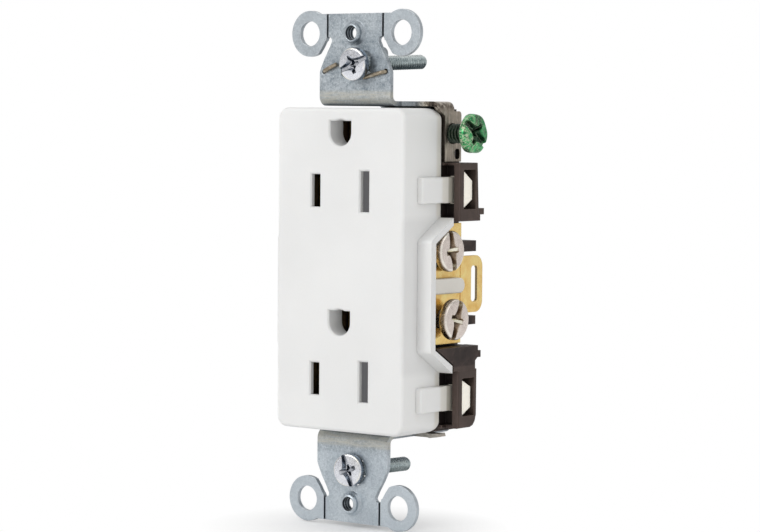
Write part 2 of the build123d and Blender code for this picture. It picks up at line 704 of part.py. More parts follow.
def make_clamp(out, z):
    x1 = out - CLAMP_BACK
    clamp = box(
        x1 - CLAMP_T, x1, SCREW_Y - CLAMP_HALF_Y, SCREW_Y + CLAMP_HALF_Y,
        z - CLAMP_HALF_Z, z + CLAMP_HALF_Z,
    )
    clamp = fillet(clamp.edges().filter_by(Axis.X), 0.5)
    return clamp - cyl_x(CLAMP_HOLE_R, x1 - 3, x1 + 2, SCREW_Y, z)


def make_ground_screw():
    place = Pos(GROUND_SCREW_OUT, GROUND_SCREW_Y, GROUND_SCREW_Z) * Rot(0, 90, 0)
    return place * make_screw(GROUND_TURN, **GROUND_SCREW)


def make_retainer():
    """Captive washer, in the local frame of its mounting screw."""
    washer = Pos(0, 0, RETAINER_Z) * Box(*RETAINER_SIZE)
    washer = fillet(washer.edges().filter_by(Axis.Z), 1.4)
    return washer - Pos(0, 0, RETAINER_Z) * Cylinder(MOUNTING_R + 0.06, 3)


def make_staple():
    """Wire clip: crown behind the strap, legs clinched on its front."""
    pieces = []
    for start, end in zip(STAPLE_PATH, STAPLE_PATH[1:]):
        a, b = Vector(*start), Vector(*end)
        run = b - a
        pieces.append(Plane(origin=(a + b) / 2, z_dir=run) * Cylinder(STAPLE_R, run.length))
    pieces += [Pos(*point) * Sphere(STAPLE_R) for point in STAPLE_PATH[1:-1]]
    return fuse(pieces)


# --------------------------------------------------------------------- write
def make_nodes():
    bus = make_bus()
    nodes = {
        "face_cover": make_cover(),
        "base_body": make_base(),
        "mounting_strap": make_strap(),
        "neutral_bus": bus,
        "hot_bus": mirrored(bus),
        "ground_screw": make_ground_screw(),
        "ground_staple": make_staple(),
    }
    for i, name in enumerate(("upper", "lower")):
        nodes[f"neutral_contact_{name}"] = make_contact(BLADE_Z[i], NEUTRAL_CLIP_H)
        nodes[f"hot_contact_{name}"] = mirrored(make_contact(BLADE_Z[i], HOT_CLIP_H))
        nodes[f"ground_contact_{name}"] = make_ground_contact(GROUND_Z[i])
        nodes[f"ground_rivet_{name}"] = make_ground_rivet(GROUND_Z[i])
        out, z = SCREW_OUT[i], SCREW_Z[i]
        nodes[f"neutral_screw_{name}"] = make_terminal_screw(out, z, NEUTRAL_TURNS[i])
        nodes[f"hot_screw_{name}"] = mirrored(make_terminal_screw(out, z, HOT_TURNS[i]))
        clamp = make_clamp(out, z)
        nodes[f"neutral_clamp_{name}"] = clamp
        nodes[f"hot_clamp_{name}"] = mirrored(clamp)
    for name, (position, lean, rise, turn) in MOUNTINGS.items():
        # head towards the room
        place = Pos(*position) * Rot(0, 0, lean) * Rot(90 + rise, 0, 0)
        nodes[f"mounting_screw_{name}"] = place * make_screw(turn, **MOUNTING_SCREW)
        nodes[f"screw_retainer_{name}"] = place * make_retainer()
    return nodes


def main():
    os.makedirs("parts", exist_ok=True)
    for name, shape in make_nodes().items():
        solids = shape.solids()
        whole = solids[0] if len(solids) == 1 else Compound(solids)
        export_step(whole, f"parts/{name}.step")


main()
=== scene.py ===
"""An electrical receptacle on its mounting strap.

The strap runs along Z. Mounting screw heads point to -Y, their shanks run to +Y. The neutral
and ground screws sit on the +X side, the hot screws on the -X side. Objects are in metres;
shader places and the screw and wire tables are in millimetres.
"""
import json
import math
import random

import bmesh
import bpy
from mathutils import Matrix, Vector


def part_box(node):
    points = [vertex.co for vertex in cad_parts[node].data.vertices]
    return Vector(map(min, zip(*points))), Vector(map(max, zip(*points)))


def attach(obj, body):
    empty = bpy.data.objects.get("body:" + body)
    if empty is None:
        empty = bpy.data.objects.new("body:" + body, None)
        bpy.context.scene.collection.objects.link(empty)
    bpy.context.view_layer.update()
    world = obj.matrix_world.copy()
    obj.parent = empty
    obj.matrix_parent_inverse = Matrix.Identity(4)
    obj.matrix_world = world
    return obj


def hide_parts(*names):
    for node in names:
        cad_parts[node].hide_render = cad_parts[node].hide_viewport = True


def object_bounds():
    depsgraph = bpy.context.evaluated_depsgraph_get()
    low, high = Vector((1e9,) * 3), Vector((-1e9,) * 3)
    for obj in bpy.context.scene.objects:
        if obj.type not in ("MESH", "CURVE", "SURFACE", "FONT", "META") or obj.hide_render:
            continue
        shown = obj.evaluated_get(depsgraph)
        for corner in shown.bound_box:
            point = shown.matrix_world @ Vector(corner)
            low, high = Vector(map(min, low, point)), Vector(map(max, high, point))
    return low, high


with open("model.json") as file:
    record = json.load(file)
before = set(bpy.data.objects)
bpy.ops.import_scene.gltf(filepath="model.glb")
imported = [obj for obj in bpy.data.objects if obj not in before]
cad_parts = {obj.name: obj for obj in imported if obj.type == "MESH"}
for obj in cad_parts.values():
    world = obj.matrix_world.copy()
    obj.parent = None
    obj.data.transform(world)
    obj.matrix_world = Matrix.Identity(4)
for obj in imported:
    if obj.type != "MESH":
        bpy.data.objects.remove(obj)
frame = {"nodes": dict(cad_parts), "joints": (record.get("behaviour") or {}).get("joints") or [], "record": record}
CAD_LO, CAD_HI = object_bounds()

random.seed(7)                  # keeps builds repeatable
scene = bpy.context.scene

MM = 0.001
X, Y, Z = 0, 1, 2

# places on the body, mm
LATCH_MID_Z = -4.9              # mid height between the upper and lower latches
LATCH_REACH = 21.3              # from mid height to the middle of a latch frame
STRAP_HOLE_Z = 48.42            # threaded strap holes, above and below centre
TERMINAL_Y = 7.1                # axis of the terminal screws
GROUND_Y, GROUND_Z = 9.98, 28.03
GROUND_TOP_X = 23.3             # outer face of the ground screw's head

# screws, mm
PITCH = 25.4 / 32               # 32 threads per inch
THREAD_DEPTH = 0.56 * PITCH
STEPS_PER_TURN = 9              # profile rows in one pitch
SMOOTH_DEG = 32.0               # edges flatter than this are shaded smooth


# ------------------------------------------------------------------ colours
def linear(byte):
    v = byte / 255.0
    return v / 12.92 if v <= 0.04045 else ((v + 0.055) / 1.055) ** 2.4


def colour(value):
    """A number is a linear grey, a triple is sRGB 0-255, anything else passes through."""
    if isinstance(value, (int, float)):
        return (value, value, value, 1)
    if isinstance(value, tuple) and len(value) == 3:
        return (*map(linear, value), 1.0)
    return value


def scaled(rgb, factor):
    return tuple(min(255, int(v * factor)) for v in rgb)


def raised(rgb, amount):
    return tuple(min(255, v + amount) for v in rgb)


# ------------------------------------------------------------- node helpers
class Graph:
    """Builds shader nodes. Wherever a value is taken, a node output may be given too."""

    def __init__(self, tree, coordinates):
        self.tree = tree
        tree.nodes.clear()
        self.co = self.node("TexCoord").outputs[coordinates]

    def feed(self, socket, value):
        if hasattr(value, "is_linked"):
            self.tree.links.new(value, socket)
        else:
            socket.default_value = value

    def node(self, kind, inputs=None, **settings):
        node = self.tree.nodes.new("ShaderNode" + kind)
        for key, value in settings.items():
            setattr(node, key, value)
        for key, value in (inputs or {}).items():
            self.feed(node.inputs[key], value)
        return node

    def mapped(self, stretch=(1, 1, 1), shift=(0, 0, 0)):
        inputs = {"Vector": self.co, "Scale": stretch, "Location": shift}
        return self.node("Mapping", inputs).outputs[0]

    def noise(self, scale, detail=4, rough=0.55, distort=0.0,
              stretch=(1, 1, 1), shift=(0, 0, 0)):
        plain = stretch == (1, 1, 1) and shift == (0, 0, 0)
        return self.node("TexNoise", {
            "Scale": scale, "Detail": detail, "Roughness": rough, "Distortion": distort,
            "Vector": self.co if plain else self.mapped(stretch, shift)}).outputs[0]

    def voronoi(self, scale):
        return self.node("TexVoronoi", {"Scale": scale, "Vector": self.co}).outputs[0]

    def ramp(self, value, stops):
        """stops: {position: grey or colour}, in rising order."""
        node = self.node("ValToRGB", {0: value})
        elements = node.color_ramp.elements
        while len(elements) > 1:
            elements.remove(elements[-1])
        for i, (position, tone) in enumerate(stops.items()):
            element = elements[0] if i == 0 else elements.new(position)
            element.position = position
            element.color = colour(tone)
        return node.outputs[0]

    def mottle(self, stops, **noise):
        """Noise read through a ramp."""
        return self.ramp(self.noise(**noise), stops)

    def mix(self, base, other, by, amount=None):
        """base turns into other where by, times the amount, is 1."""
        if amount is not None:
            by = self.times(by, amount)
        inputs = {0: by, 6: colour(base), 7: colour(other)}
        return self.node("Mix", inputs, data_type="RGBA").outputs[2]

    def math(self, operation, a, b=0.0, clamp=False):
        inputs = {0: a, 1: b, 2: 0.0}
        return self.node("Math", inputs, operation=operation, use_clamp=clamp).outputs[0]

    def times(self, first, *others):
        for other in others:
            first = self.math("MULTIPLY", first, other)
        return first

    def plus(self, a, b):
        return self.math("ADD", a, b)

    def minus(self, a, b):
        return self.math("SUBTRACT", a, b)

    def inverse(self, value):
        return self.minus(1.0, value)

    def abs(self, value):
        return self.math("ABSOLUTE", value)

    def step(self, value, off, on, low=0.0, high=1.0):
        """low where value is at off, high where it is at on, clamped outside."""
        return self.node("MapRange", {
            "From Min": off, "From Max": on, "To Min": low, "To Max": high,
            "Value": value}).outputs[0]

    def band(self, value, low, high, soft):
        """1 between low and high, falling to 0 over soft on each side."""
        rise = self.step(value, off=low - soft, on=low)
        return self.times(rise, self.step(value, off=high + soft, on=high))

    def axis(self, i):
        return self.node("SeparateXYZ", {0: self.co}).outputs[i]

    def away(self, i, centre=None):
        """Distance along an axis, either way, from the origin or from centre."""
        place = self.axis(i)
        return self.abs(place if centre is None else self.plus(place, -centre))

    def from_pair(self, i, centre, reach):
        """Distance along an axis from the nearer of the places centre +- reach."""
        return self.abs(self.minus(self.away(i, centre), reach))


class Material(Graph):
    """A procedural Principled material with coordinates in millimetres."""

    def __init__(self, name):
        self.m = bpy.data.materials.new(name)
        self.m.use_nodes = True
        super().__init__(self.m.node_tree, "Object")
        self.co = self.mapped(stretch=(1000, 1000, 1000))
        self.shader = self.node("BsdfPrincipled")
        self.out = self.node("OutputMaterial", {0: self.shader.outputs[0]})

    def set(self, **inputs):
        for name, value in inputs.items():
            self.feed(self.shader.inputs[name.replace("_", " ")], value)

    def crevices(self, stops, reach):
        """Ambient occlusion within reach (mm), read through a ramp."""
        node = self.node("AmbientOcclusion", {"Distance": reach * MM}, samples=6)
        return self.ramp(node.outputs["AO"], stops)

    def normal(self, i):
        geometry = self.node("NewGeometry")
        return self.node("SeparateXYZ", {0: geometry.outputs["Normal"]}).outputs[i]

    def rounded(self, radius):
        return self.node("Bevel", {"Radius": radius * MM}, samples=4).outputs[0]

    def edge(self, radius, gain):
        """0 on flat faces, towards 1 on edges: beveled against true normals."""
        true = self.node("NewGeometry").outputs["Normal"]
        dot = self.node("VectorMath", {0: self.rounded(radius), 1: true},
                        operation="DOT_PRODUCT")
        bend = self.inverse(dot.outputs["Value"])
        return self.math("MULTIPLY", bend, gain, clamp=True)

    def roughness(self, low, high, **noise):
        self.set(Roughness=self.mottle({0.3: low, 0.7: high}, **noise))

    def bump(self, height, strength, depth, bevel=None):
        inputs = {"Strength": strength, "Distance": depth * MM, "Height": height}
        if bevel:
            inputs["Normal"] = self.rounded(bevel)
        self.set(Normal=self.node("Bump", inputs).outputs[0])

    def glow(self, mask, tint):
        self.set(Emission_Strength=mask, Emission_Color=tint)


# ---------------------------------------------------------- plastic materials
def nylon_white():
    m = Material("nylon_white")
    col = m.mottle({0.3: (229, 229, 228), 0.7: (235, 235, 234)}, scale=0.05, detail=2)
    fine = m.mottle({0.35: 0.0, 0.75: 0.10}, scale=6.0, detail=3)
    col = m.mix(col, (212, 212, 210), by=fine)

    # painted shade, warm and darker, where the latch arms run under the brown frames, and a painted highlight on
    # the arms in front of it
    arm = m.times(m.step(m.away(X), off=15.5, on=16.5),
                  m.step(m.away(Z, centre=LATCH_MID_Z), off=15.0, on=16.5))
    near = m.times(m.band(m.axis(Y), low=5.6, high=9.0, soft=0.8), arm)
    lit = m.times(arm, m.times(m.step(m.axis(Y), off=9.0, on=8.0), 0.5))
    col = m.mix(col, (248, 248, 246), by=lit)
    col = m.mix(col, (212, 204, 186), by=near, amount=0.45)
    # deeper painted shade where the arms go under the frames
    close = m.times(m.band(m.axis(Y), low=7.6, high=9.0, soft=0.5), arm)
    col = m.mix(col, (140, 132, 112), by=close, amount=0.6)
    # painted shade in crevices, from ambient occlusion
    col = m.mix(col, (120, 120, 120), by=m.crevices({0.2: 0.32, 0.7: 0.0}, reach=0.7))

    # finger between the terminal screws, its underside and its root
    finger = m.times(m.band(m.axis(Z), low=-5.6, high=-0.4, soft=0.2),
                     m.step(m.axis(Y), off=0.8, on=1.6),
                     m.step(m.away(X), off=15.6, on=16.2))
    col = m.mix(col, (232, 226, 212), by=finger, amount=0.6)
    # painted shade on the finger's underside
    under = m.times(finger, m.step(m.normal(Z), off=0.35, on=-0.75))
    col = m.mix(col, (158, 154, 150), by=under, amount=0.42)
    root = m.times(finger, m.step(m.away(X), off=17.6, on=16.4))
    col = m.mix(col, (182, 190, 200), by=root, amount=0.35)

    # hooks showing through the frame windows: bare cream resin, painted brighter, with a painted glow that lights
    # them in the shaded windows
    hook = m.times(m.step(m.axis(Y), off=9.2, on=9.7),
                   m.step(m.away(X), off=15.8, on=16.2),
                   m.step(m.away(Z, centre=LATCH_MID_Z), off=14.0, on=15.0))
    col = m.mix(col, (255, 250, 238), by=hook)
    m.glow(hook, tint=(0.13, 0.122, 0.105, 1))

    m.set(Base_Color=col, IOR=1.5, Subsurface_Weight=0.12,
          Subsurface_Radius=(1.0, 0.9, 0.8), Subsurface_Scale=0.0006)
    m.roughness(low=0.34, high=0.44, scale=1.1)
    height = m.mix(m.noise(scale=3.0, detail=5), m.noise(scale=14.0, detail=3), by=0.5)
    m.bump(height, strength=0.12, depth=0.02, bevel=0.22)
    return m.m


def slot_glow(m):
    """Painted grey glow on the walls just behind the blade slots, standing in for light that reaches them."""
    tall = m.band(m.axis(X), low=3.2, high=7.8, soft=0.1)
    short = m.times(m.band(m.axis(X), low=-9.4, high=-4.6, soft=0.1), 0.22)
    mask = m.times(m.plus(tall, short),
                   m.band(m.axis(Y), low=-3.4, high=2.4, soft=0.2),
                   m.step(m.from_pair(Z, centre=-3.215, reach=19.385), off=4.9, on=4.6))
    m.glow(mask, tint=(0.11, 0.11, 0.115, 1))


def base_brown():
    m = Material("base_brown")
    col = m.mottle({0.32: (36, 25, 22), 0.5: (50, 38, 34), 0.68: (70, 55, 50)},
                   scale=0.32, detail=5, rough=0.62, distort=0.6)
    col = m.mix(col, (96, 84, 78), by=m.ramp(m.voronoi(scale=5.0), {0.0: 0.35, 0.12: 0.0}))
    # painted highlight along the edges
    col = m.mix(col, (110, 98, 92), by=m.edge(radius=0.25, gain=3.0), amount=0.35)

    # painted light: faces towards -Y lighter, paler still at lower Y
    face = m.step(m.normal(Y), off=-0.5, on=-0.85)
    pale = m.plus(0.22, m.times(m.step(m.axis(Y), off=11.2, on=10.2), 0.38))
    col = m.mix(col, (92, 79, 75), by=face, amount=pale)

    # painted light: latch frames a shade lighter than the block between them
    rail = m.times(
        m.step(m.from_pair(Z, centre=LATCH_MID_Z, reach=LATCH_REACH), off=6.9, on=6.5),
        m.step(m.away(X), off=18.4, on=18.8))
    col = m.mix(col, (104, 88, 80), by=rail, amount=0.30)

    # more painted highlight along the edges, patchy
    patchy_highlight = m.mottle({0.35: 0.25, 0.65: 0.75}, scale=0.8, rough=0.6)
    col = m.mix(col, (150, 130, 116), by=m.edge(radius=0.2, gain=4.0), amount=patchy_highlight)
    # painted shade in crevices, from ambient occlusion
    col = m.mix(col, (16, 12, 11), by=m.crevices({0.2: 0.92, 0.72: 0.0}, reach=2.0))

    # mouths of the latch channels stay in deep shade
    mouth = m.times(m.band(m.away(X), low=15.9, high=18.46, soft=0.02),
                    m.band(m.axis(Y), low=6.5, high=9.6, soft=0.3),
                    m.step(m.from_pair(Z, centre=-5.0, reach=LATCH_REACH), off=5.45, on=5.25))
    col = m.mix(col, (24, 19, 18), by=mouth, amount=0.8)

    slot_glow(m)
    m.set(Base_Color=col, Specular_IOR_Level=0.28)
    m.roughness(low=0.36, high=0.52, scale=2.2)
    height = m.mix(m.noise(scale=2.0), m.noise(scale=9.0, detail=3), by=0.4)
    m.bump(height, strength=0.25, depth=0.03, bevel=0.18)
    return m.m


# ------------------------------------------------------------ strap material
def bore_threads(m, col):
    """Thread lines inside the collared strap holes, painted as bands of shade and highlight."""
    radius2 = m.plus(m.math("POWER", m.axis(X), 2.0),
                     m.math("POWER", m.minus(m.away(Z), STRAP_HOLE_Z), 2.0))
    bore = m.step(radius2, off=2.25, on=1.95)
    turns, slant = 1.26, 0.2       # thread lines per mm of depth, lean across the hole
    ridge = m.math("FRACT", m.plus(m.times(m.axis(Y), turns), m.times(m.axis(X), slant)))
    lines = m.ramp(ridge, {0.0: (30, 36, 42), 0.45: (70, 80, 90),
                           0.62: (176, 186, 192), 0.8: (40, 46, 54)})
    return m.mix(col, lines, by=bore)


def bare_metal(m, edge):
    """Colour of the ground tab and its arm, with painted shade and painted highlights."""
    tone = m.mottle({0.34: (112, 102, 92), 0.5: (172, 160, 146), 0.66: (226, 216, 202)},
                    scale=1.0, detail=5, rough=0.7, stretch=(0.6, 5.5, 0.16))
    patch = m.mottle({0.45: 0.0, 0.7: 0.45}, scale=0.5, rough=0.6, distort=0.8)
    tone = m.mix(tone, (92, 96, 92), by=patch)
    # painted shade on faces towards -Y
    front = m.step(m.normal(Y), off=-0.35, on=-0.75)
    tone = m.mix(tone, (60, 52, 47), by=front, amount=0.8)
    # crown of the bend: mottled, and darker with painted shade
    crown = m.step(m.axis(Z), off=32.3, on=33.3)
    mottled = m.mottle({0.40: (52, 44, 40), 0.52: (120, 110, 98), 0.64: (214, 206, 192)},
                       scale=0.55, detail=5, rough=0.7, distort=1.2)
    tone = m.mix(tone, mottled, by=crown, amount=0.85)
    # painted highlight on the top of the ridge
    ridge = m.times(m.step(m.axis(Z), off=34.1, on=34.5), m.step(m.normal(Z), off=0.3, on=0.7))
    tone = m.mix(tone, (220, 212, 198), by=ridge, amount=0.6)
    # painted highlight along the edges
    return m.mix(tone, (186, 178, 168), by=edge, amount=0.4)


def zinc_steel():
    """Dull zinc plating, with painted highlights and shade; the ground tab is bare sheared metal, darker and
    warmer, partly by painted shade.
    """
    m = Material("zinc_steel")
    col = m.mottle({0.30: (160, 169, 176), 0.50: (182, 190, 196), 0.70: (200, 207, 212)},
                   scale=0.16, distort=0.4)
    speck = m.mottle({0.44: 0.0, 0.66: 0.55}, scale=2.6, detail=5, rough=0.7)
    col = m.mix(col, (104, 118, 128), by=speck)
    grain = m.mottle({0.48: 0.0, 0.66: 0.5}, scale=1.3, rough=0.7, shift=(11.0, 3.0, 8.0))
    neck = m.band(m.away(Z), low=33.0, high=46.6, soft=0.6)
    col = m.mix(col, (96, 110, 122), by=m.times(grain, neck))
    glint = m.mottle({0.54: 0.0, 0.70: 0.75}, scale=3.4, detail=5, rough=0.75,
                     shift=(31.0, 7.0, 3.0))
    col = m.mix(col, (232, 236, 239), by=glint)

    # ears, lighter than the neck
    ears = m.times(m.step(m.away(X), off=7.1, on=7.5), m.step(m.away(Z), off=43.0, on=43.6))
    col = m.mix(col, (200, 207, 212), by=ears, amount=0.45)

    # painted highlight: a bright band round the bends
    bend = m.times(m.band(m.away(Z), low=34.2, high=36.2, soft=0.7),
                   m.step(m.axis(Y), off=2.0, on=0.6))
    streak = m.mottle({0.35: 0.2, 0.65: 0.75}, scale=1.0, rough=0.65, stretch=(0.25, 1.0, 3.0))
    col = m.mix(col, (204, 200, 186), by=bend, amount=streak)
    col = m.mix(col, (96, 108, 116), by=m.ramp(m.voronoi(scale=0.7), {0.0: 0.5, 0.10: 0.0}))
    edge = m.edge(radius=0.14, gain=4.0)
    rim = m.plus(0.55, m.times(ears, 0.4))      # edges shine more on the ears
    col = m.mix(col, (238, 241, 243), by=edge, amount=rim)

    # lighter and bluer on the lower neck
    low = m.times(m.step(m.axis(Z), off=-36.5, on=-38.5), m.step(m.axis(Y), off=1.0, on=0.2))
    col = m.mix(col, (222, 232, 240), by=low, amount=0.32)

    # painted shade in creases and stamped corners, from ambient occlusion, less so along the neck
    shade_eased = m.times(m.band(m.away(Z), low=38.2, high=45.0, soft=0.6), 0.55)
    crease_shade = m.crevices({0.20: 0.78, 0.80: 0.0}, reach=1.1)
    col = m.mix(col, (74, 86, 98), by=crease_shade, amount=m.inverse(shade_eased))

    # score lines of the break-off ears: painted shade in the grooves, dark to the bottom
    score = m.times(m.band(m.away(X), low=6.98, high=7.42, soft=0.06),
                    m.step(m.away(Z), off=46.0, on=46.4),
                    m.step(m.abs(m.normal(Y)), off=0.5, on=0.8))
    col = m.mix(col, (28, 34, 40), by=score, amount=0.9)
    # painted light on the lip below the cover, which lies in shade
    lip = m.times(m.step(m.axis(Z), off=-33.0, on=-33.4),
                  m.step(m.axis(X), off=9.3, on=9.8),
                  m.step(m.axis(Y), off=5.5, on=6.5))
    col = m.mix(col, (255, 244, 228), by=lip, amount=0.9)
    col = bore_threads(m, col)

    tab = m.times(m.step(m.axis(X), off=10.2, on=13.5),
                  m.step(m.axis(Y), off=3.6, on=4.2),
                  m.step(m.axis(Z), off=0.0, on=1.0))
    col = m.mix(col, bare_metal(m, edge), by=tab)
    # painted shade on the flange and web behind the ears
    back = m.times(m.step(m.axis(Y), off=1.0, on=2.6), m.inverse(tab))
    col = m.mix(col, (96, 98, 100), by=back, amount=0.35)

    m.set(Base_Color=col, Metallic=0.9)
    m.roughness(low=0.30, high=0.50, scale=1.4, detail=5, rough=0.6)
    height = m.mix(m.noise(scale=0.7, rough=0.6),
                   m.noise(scale=5.0, detail=5, rough=0.65), by=0.6)
    m.bump(height, strength=0.42, depth=0.08, bevel=0.14)
    return m.m


# ----------------------------------------------------------- brass materials
def window_glow(m):
    """Painted glow on the sheared wall of the fin's window, standing in for light it catches from the room."""
    wall = m.times(m.step(m.normal(Y), off=-0.7, on=-0.9),
                   m.step(m.axis(Y), off=12.6, on=13.0))
    m.glow(wall, tint=(0.17, 0.13, 0.07, 1))


def brass(name, base, dark, smoothest, roughest, add_glow):
    m = Material(name)
    col = m.mottle({0.3: dark, 0.5: base, 0.72: raised(base, 16)},
                   scale=0.35, rough=0.6, distort=0.4)
    scratch = m.mottle({0.45: 0.0, 0.72: 0.25}, scale=1.0, rough=0.7, stretch=(1.0, 0.9, 9.0))
    col = m.mix(col, (244, 220, 160), by=scratch)
    col = m.mix(col, (180, 136, 70), by=m.mottle({0.6: 0.0, 0.8: 0.22}, scale=2.3, rough=0.7))
    # painted shade along the edges
    col = m.mix(col, (168, 128, 66), by=m.edge(radius=0.14, gain=4.0), amount=0.5)
    # crevice shade, weaker on faces across Y
    shade = m.crevices({0.15: 0.6, 0.8: 0.0}, reach=1.6)
    across = m.times(m.step(m.abs(m.normal(Y)), off=0.7, on=0.9), 0.7)
    col = m.mix(col, (104, 70, 28), by=shade, amount=m.inverse(across))
    add_glow(m)
    m.set(Base_Color=col, Metallic=1.0)
    m.roughness(low=smoothest, high=roughest, scale=1.8, detail=5, rough=0.65)
    height = m.mix(m.noise(scale=0.8, detail=3, rough=0.6),
                   m.noise(scale=1.0, rough=0.7, stretch=(1.0, 1.0, 12.0)), by=0.5)
    m.bump(height, strength=0.18, depth=0.04, bevel=0.12)
    return m.m


# ----------------------------------------------------------- screw materials
def screw_plating(m, tones, speck, strength):
    """Cloudy plating in three tones with fine darker specks."""
    col = m.mottle(dict(zip((0.3, 0.55, 0.75), tones)),
                   scale=0.9, detail=5, rough=0.6, distort=0.5)
    return m.mix(col, speck, by=m.mottle({0.58: 0.0, 0.74: strength}, scale=4.5, rough=0.7))


def screw_head_tones(m, col, axis, side):
    """Painted shade on the flank and a painted highlight line where the flat top turns into the rim."""
    facing = m.abs(m.normal(axis))
    flank = m.step(facing, off=0.62, on=0.38)
    # painted shade on the flank, patchy
    flank_shade = m.mottle({0.35: scaled(side, 0.66), 0.55: side, 0.72: scaled(side, 1.35)},
                    scale=1.2, rough=0.6, distort=0.8)
    col = m.mix(col, flank_shade, by=flank, amount=0.85)
    rim = m.band(facing, low=0.72, high=0.95, soft=0.04)
    shine = m.mottle({0.40: 0.15, 0.58: 0.85}, scale=0.45, detail=3, rough=0.5)
    return m.mix(col, (255, 252, 240), by=rim, amount=shine)


def screw_finish(m, col, bevel):
    m.set(Base_Color=col, Metallic=1.0)
    m.roughness(low=0.20, high=0.36, scale=2.5, rough=0.6)
    height = m.mix(m.noise(scale=1.2, detail=3), m.noise(scale=7.0, rough=0.6), by=0.5)
    m.bump(height, strength=0.18, depth=0.05, bevel=bevel)


def square_sum(m, a, b):
    return m.plus(m.times(a, a), m.times(b, b))


def terminal_steel(name, base, dark, side):
    """Plated terminal screw: bright flat top, bright rim line, shaded flank and recess."""
    m = Material(name)
    col = screw_plating(m, (scaled(base, 0.92), base, raised(base, 12)),
                        speck=scaled(base, 0.62), strength=0.25)
    col = screw_head_tones(m, col, X, side)

    # each value below differs between the lower and the upper pair of screws
    upper = m.step(m.axis(Z), off=-2.84, on=-2.82)

    def per_pair(lower, rise):
        return m.minus(m.times(upper, rise), -lower)

    # the drive recess, found from the distance to the axis and to the top
    y = m.minus(m.axis(Y), TERMINAL_Y)
    z = m.minus(m.axis(Z), per_pair(lower=-9.78, rise=13.9))
    lower_top, upper_drop = 20.83, 1.3          # head top from the centre plane, mm
    depth = m.minus(m.minus(lower_top, m.times(upper, upper_drop)), m.away(X))
    inside = m.times(m.step(square_sum(m, y, z), off=13.4, on=12.4),
                     m.step(depth, off=0.14, on=0.30))
    shade = m.mix(scaled(dark, 1.7), dark, by=m.step(depth, off=0.3, on=1.3))
    shade = m.mix(shade, side, by=m.mottle({0.4: 0.0, 0.7: 0.35}, scale=2.6, rough=0.6))

    # a lit streak in one arm of the recess, and a lit rim
    slope = per_pair(lower=-0.34, rise=0.53)
    along = m.minus(z, m.times(y, slope))
    lit = m.times(m.band(y, low=0.55, high=1.8, soft=0.25),
                  m.band(along, low=-0.30, high=0.30, soft=0.10))
    flip = per_pair(lower=-1.0, rise=2.0)
    rim = m.step(m.times(z, flip), off=-2.55, on=-2.95)
    lit = m.math("MAXIMUM", lit, m.times(rim, 0.6))
    shade = m.mix(shade, (250, 246, 228), by=lit)
    col = m.mix(col, shade, by=inside, amount=0.92)

    # painted shade in crevices, from ambient occlusion, kept out of the recess
    crevice_shade = m.times(m.crevices({0.25: 0.8, 0.8: 0.0}, reach=1.3), m.inverse(inside))
    col = m.mix(col, dark, by=crevice_shade, amount=0.8)
    screw_finish(m, col, bevel=0.06)
    return m.m


def zinc_screw():
    """Zinc-plated mounting screw: near-white head, painted blue-grey shade in the recess, a painted highlight on
    top of the shank, painted shade under it and in the thread roots.
    """
    m = Material("zinc_screw")
    col = screw_plating(m, ((216, 218, 226), (232, 234, 240), (246, 247, 250)),
                        speck=(140, 148, 160), strength=0.35)
    head = screw_head_tones(m, col, Y, side=(112, 126, 140))
    # painted shade in the head's recess and creases
    head = m.mix(head, (44, 56, 70), by=m.crevices({0.30: 1.0, 0.85: 0.0}, reach=1.2))
    shank = m.mottle({0.3: (156, 170, 172), 0.7: (204, 214, 214)}, scale=1.1, rough=0.6)
    # painted highlight on top of the shank
    top = m.step(m.normal(Z), off=0.25, on=0.8)
    shank = m.mix(shank, (244, 246, 246), by=top, amount=0.7)
    # painted shade under the shank
    under = m.step(m.normal(Z), off=-0.1, on=-0.75)
    shank = m.mix(shank, (58, 70, 74), by=under, amount=0.6)
    # painted shade in the thread roots, from ambient occlusion
    shank = m.mix(shank, (34, 44, 50), by=m.crevices({0.35: 0.95, 0.76: 0.0}, reach=0.42))
    col = m.mix(head, shank, by=m.step(m.axis(Y), off=-0.9, on=-0.4))
    screw_finish(m, col, bevel=0.05)
    return m.m


